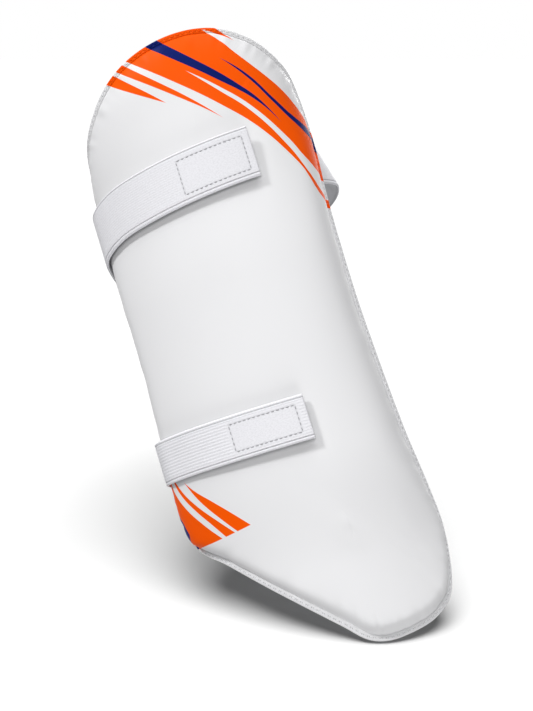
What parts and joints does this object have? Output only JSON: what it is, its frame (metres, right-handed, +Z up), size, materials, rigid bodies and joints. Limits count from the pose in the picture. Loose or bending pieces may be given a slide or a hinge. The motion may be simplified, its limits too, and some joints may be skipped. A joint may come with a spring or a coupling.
{
  "type": "cricket thigh guard",
  "caption": "Padded thigh guard for cricket: a bent, crowned pad with a stitched rim and slanted tip, backed by a thin panel and closed round the thigh by elastic straps.",
  "frame": {"origin": "middle of the leg side of the back panel, where the guard sits on the front of the thigh", "axes": "+Z up the thigh toward the hip, +Y into the thigh, +X to the right as seen from the front"},
  "size_m": [0.1616, 0.1806, 0.4029],
  "materials": {
    "facing": "white coated leather, satin",
    "backing": "soft white knitted lining, matte",
    "elastic": "woven white elastic, matte",
    "fastener": "white hook and loop, matte"
  },
  "bodies": {
    "root": {"pad_front": "facing", "back_panel": "backing", "upper_strap": "elastic", "upper_fastener": "fastener", "lower_strap": "elastic", "lower_fastener": "fastener"}
  },
  "joints": []
}
